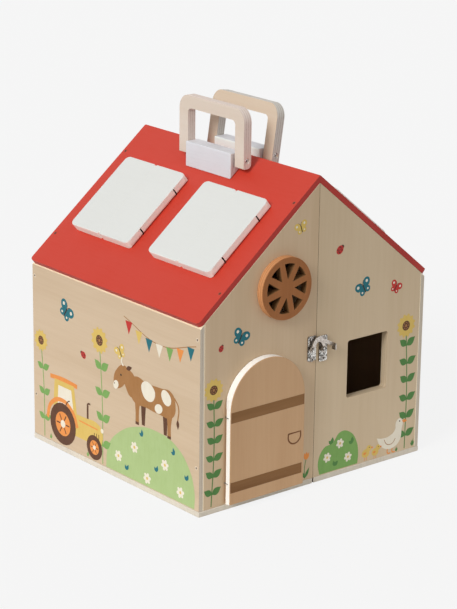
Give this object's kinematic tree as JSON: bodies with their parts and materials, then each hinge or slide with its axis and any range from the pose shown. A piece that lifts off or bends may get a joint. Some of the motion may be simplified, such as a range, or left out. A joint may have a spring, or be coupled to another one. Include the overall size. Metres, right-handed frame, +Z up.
{
  "type": "toy farmhouse",
  "caption": "Wooden toy farmhouse that opens in two hinged halves, with an arched door, wheel window, shuttered roof windows, a hook latch and folding carry handles.",
  "frame": {"origin": "centre of the underside of the whole bounding box, on the floor the house stands on", "axes": "+Z up, the gable with the door faces -Y, the seam between the halves is the plane X = 0"},
  "size_m": [0.3156, 0.307, 0.3906],
  "materials": {
    "plywood": "clear coated light plywood with a printed farm scene",
    "red_paint": "satin red paint on plywood",
    "white_paint": "satin white paint on plywood",
    "door_wood": "clear coated plywood with white painted edges and dark printed bands",
    "handle_wood": "clear coated birch plywood with rounded edges",
    "stained_wood": "orange brown stained plywood",
    "nickel": "bright nickel plate",
    "steel": "plain zinc-plated steel"
  },
  "bodies": {
    "left_half": {"left_base_board": "white_paint", "left_side_wall": "plywood", "left_front_gable": "plywood", "left_back_gable": "plywood", "left_roof_panel": "red_paint", "left_handle_block": "white_paint", "left_handle_screw_front": "steel", "left_handle_screw_rear": "steel", "left_front_shutter_fore_pivot_1": "steel", "left_front_shutter_fore_pivot_2": "steel", "left_front_shutter_aft_pivot_1": "steel", "left_front_shutter_aft_pivot_2": "steel", "left_rear_shutter_fore_pivot_1": "steel", "left_rear_shutter_fore_pivot_2": "steel", "left_rear_shutter_aft_pivot_1": "steel", "left_rear_shutter_aft_pivot_2": "steel", "door_pivot_plate_lower": "steel", "door_pivot_plate_upper": "steel", "wheel_window": "stained_wood", "latch_keeper_plate": "nickel", "latch_screw_1": "steel", "latch_screw_2": "steel", "lower_hinge_left_leaf": "nickel", "upper_hinge_left_leaf": "nickel", "lower_hinge_pin": "steel", "upper_hinge_pin": "steel"},
    "right_half": {"right_base_board": "white_paint", "right_side_wall": "plywood", "right_front_gable": "plywood", "right_back_gable": "plywood", "right_roof_panel": "red_paint", "right_handle_block": "white_paint", "right_handle_screw_front": "steel", "right_handle_screw_rear": "steel", "right_front_shutter_fore_pivot_1": "steel", "right_front_shutter_fore_pivot_2": "steel", "right_front_shutter_aft_pivot_1": "steel", "right_front_shutter_aft_pivot_2": "steel", "right_rear_shutter_fore_pivot_1": "steel", "right_rear_shutter_fore_pivot_2": "steel", "right_rear_shutter_aft_pivot_1": "steel", "right_rear_shutter_aft_pivot_2": "steel", "latch_hook_plate": "nickel", "latch_screw_3": "steel", "latch_screw_4": "steel", "lower_hinge_right_leaf": "nickel", "upper_hinge_right_leaf": "nickel"},
    "door": {"front_door": "door_wood"},
    "left_front_shutter_fore": {"left_front_shutter_fore": "white_paint"},
    "left_front_shutter_aft": {"left_front_shutter_aft": "white_paint"},
    "left_rear_shutter_fore": {"left_rear_shutter_fore": "white_paint"},
    "left_rear_shutter_aft": {"left_rear_shutter_aft": "white_paint"},
    "right_front_shutter_fore": {"right_front_shutter_fore": "white_paint"},
    "right_front_shutter_aft": {"right_front_shutter_aft": "white_paint"},
    "right_rear_shutter_fore": {"right_rear_shutter_fore": "white_paint"},
    "right_rear_shutter_aft": {"right_rear_shutter_aft": "white_paint"},
    "left_handle": {"left_handle": "handle_wood"},
    "right_handle": {"right_handle": "handle_wood"},
    "latch_hook": {"latch_hook": "nickel"}
  },
  "joints": [
    {"name": "house_hinge", "type": "hinge", "parent": "left_half", "child": "right_half", "pos_m": [0, 0.15095, 0.15], "axis": [0, 0, 1], "range_deg": [0, 180]},
    {"name": "door_hinge", "type": "hinge", "parent": "left_half", "child": "door", "pos_m": [-0.119, -0.14755, 0.083], "axis": [0, 0, -1], "range_deg": [0, 90]},
    {"name": "left_front_shutter_fore_hinge", "type": "hinge", "parent": "left_half", "child": "left_front_shutter_fore", "pos_m": [-0.07958, -0.11385, 0.27555], "axis": [0.7749, 0, 0.632], "range_deg": [0, 90]},
    {"name": "left_front_shutter_aft_hinge", "type": "hinge", "parent": "left_half", "child": "left_front_shutter_aft", "pos_m": [-0.07958, -0.01805, 0.27555], "axis": [-0.7749, 0, -0.632], "range_deg": [0, 90]},
    {"name": "left_rear_shutter_fore_hinge", "type": "hinge", "parent": "left_half", "child": "left_rear_shutter_fore", "pos_m": [-0.07958, 0.02195, 0.27555], "axis": [0.7749, 0, 0.632], "range_deg": [0, 90]},
    {"name": "left_rear_shutter_aft_hinge", "type": "hinge", "parent": "left_half", "child": "left_rear_shutter_aft", "pos_m": [-0.07958, 0.11775, 0.27555], "axis": [-0.7749, 0, -0.632], "range_deg": [0, 90]},
    {"name": "right_front_shutter_fore_hinge", "type": "hinge", "parent": "right_half", "child": "right_front_shutter_fore", "pos_m": [0.07958, -0.11385, 0.27555], "axis": [0.7749, 0, -0.632], "range_deg": [0, 90]},
    {"name": "right_front_shutter_aft_hinge", "type": "hinge", "parent": "right_half", "child": "right_front_shutter_aft", "pos_m": [0.07958, -0.01805, 0.27555], "axis": [-0.7749, 0, 0.632], "range_deg": [0, 90]},
    {"name": "right_rear_shutter_fore_hinge", "type": "hinge", "parent": "right_half", "child": "right_rear_shutter_fore", "pos_m": [0.07958, 0.02195, 0.27555], "axis": [0.7749, 0, -0.632], "range_deg": [0, 90]},
    {"name": "right_rear_shutter_aft_hinge", "type": "hinge", "parent": "right_half", "child": "right_rear_shutter_aft", "pos_m": [0.07958, 0.11775, 0.27555], "axis": [-0.7749, 0, 0.632], "range_deg": [0, 90]},
    {"name": "left_handle_pivot", "type": "hinge", "parent": "left_half", "child": "left_handle", "pos_m": [-0.0195, 0.00195, 0.3354], "axis": [0, -1, 0], "range_deg": [-14, 70]},
    {"name": "right_handle_pivot", "type": "hinge", "parent": "right_half", "child": "right_handle", "pos_m": [0.0195, 0.00195, 0.3354], "axis": [0, 1, 0], "range_deg": [-22.5, 61.5]},
    {"name": "latch_hook_pivot", "type": "hinge", "parent": "right_half", "child": "latch_hook", "pos_m": [0.008, -0.1477, 0.1496], "axis": [0, 1, 0], "range_deg": [0, 120]}
  ]
}
